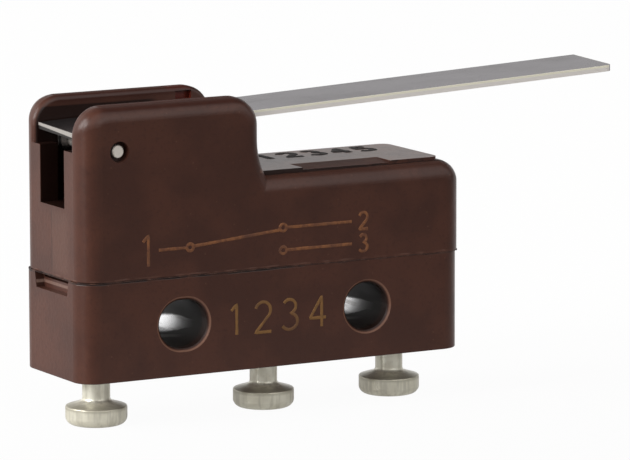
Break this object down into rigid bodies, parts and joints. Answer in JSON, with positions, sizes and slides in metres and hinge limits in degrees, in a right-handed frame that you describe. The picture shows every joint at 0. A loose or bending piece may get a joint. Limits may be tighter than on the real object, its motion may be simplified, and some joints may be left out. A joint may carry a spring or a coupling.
{
  "type": "micro switch",
  "caption": "Small snap-action switch in a stepped brown case, with a long strip lever over its plunger, mounting holes through the case and turret terminals underneath.",
  "frame": {"origin": "on the axis of the round mounting hole, halfway between the front and back faces", "axes": "+X along the case towards the lever's tip, +Y from the front face to the back face, +Z from the terminals up to the lever"},
  "size_m": [0.0288, 0.0062, 0.0151],
  "materials": {
    "case_plastic": "dark brown moulded thermoset, faint gloss",
    "plunger_plastic": "dark brown moulded thermoset",
    "lever_steel": "cold-rolled stainless strip, fine lengthwise grain",
    "pin_steel": "cut pin end, dull",
    "sleeve_metal": "bright drawn liner",
    "terminal_plating": "turned, tin-plated, slightly yellow",
    "stamped_brass": "stamped brass sheet",
    "spring_alloy": "copper-alloy spring strip",
    "contact_silver": "silver rivet",
    "spring_wire": "bright spring wire"
  },
  "bodies": {
    "case": {"base": "case_plastic", "cover": "case_plastic", "pivot_pin": "pin_steel", "sleeve_round": "sleeve_metal", "sleeve_oblong": "sleeve_metal", "terminal_common": "terminal_plating", "terminal_open": "terminal_plating", "terminal_closed": "terminal_plating", "common_frame": "stamped_brass", "open_strip": "stamped_brass", "closed_bracket": "stamped_brass", "open_contact": "contact_silver", "closed_contact": "contact_silver"},
    "lever": {"lever": "lever_steel"},
    "plunger": {"plunger": "plunger_plastic"},
    "leaf": {"actuator_leaf": "spring_alloy"},
    "arm": {"contact_arm": "spring_alloy", "moving_contact": "contact_silver", "snap_spring": "spring_wire"}
  },
  "joints": [
    {"name": "lever_hinge", "type": "hinge", "parent": "case", "child": "lever", "pos_m": [-0.01273, 0, 0.0081], "axis": [0, 1, 0], "range_deg": [0, 8], "stiffness_Nm_per_rad": 0.05, "springref_deg": -2.86},
    {"name": "plunger_slide", "type": "slide", "parent": "case", "child": "plunger", "axis": [0, 0, -1], "range_m": [0, 0.000596]},
    {"name": "leaf_hinge", "type": "hinge", "parent": "case", "child": "leaf", "pos_m": [-0.01336, 0, 0.00342], "axis": [0, 1, 0], "range_deg": [0, 7.2]},
    {"name": "arm_hinge", "type": "hinge", "parent": "case", "child": "arm", "pos_m": [-0.01001, 0, 0.00307], "axis": [0, 1, 0], "range_deg": [0, 2.9], "deforming": ["snap_spring"]}
  ],
  "couplings": [
    {"joint": "plunger_slide", "follows": "lever_hinge", "m_per_rad": 0.004266},
    {"joint": "leaf_hinge", "follows": "lever_hinge", "ratio": 0.9},
    {"joint": "arm_hinge", "follows": "lever_hinge", "ratio": 0.3625}
  ]
}
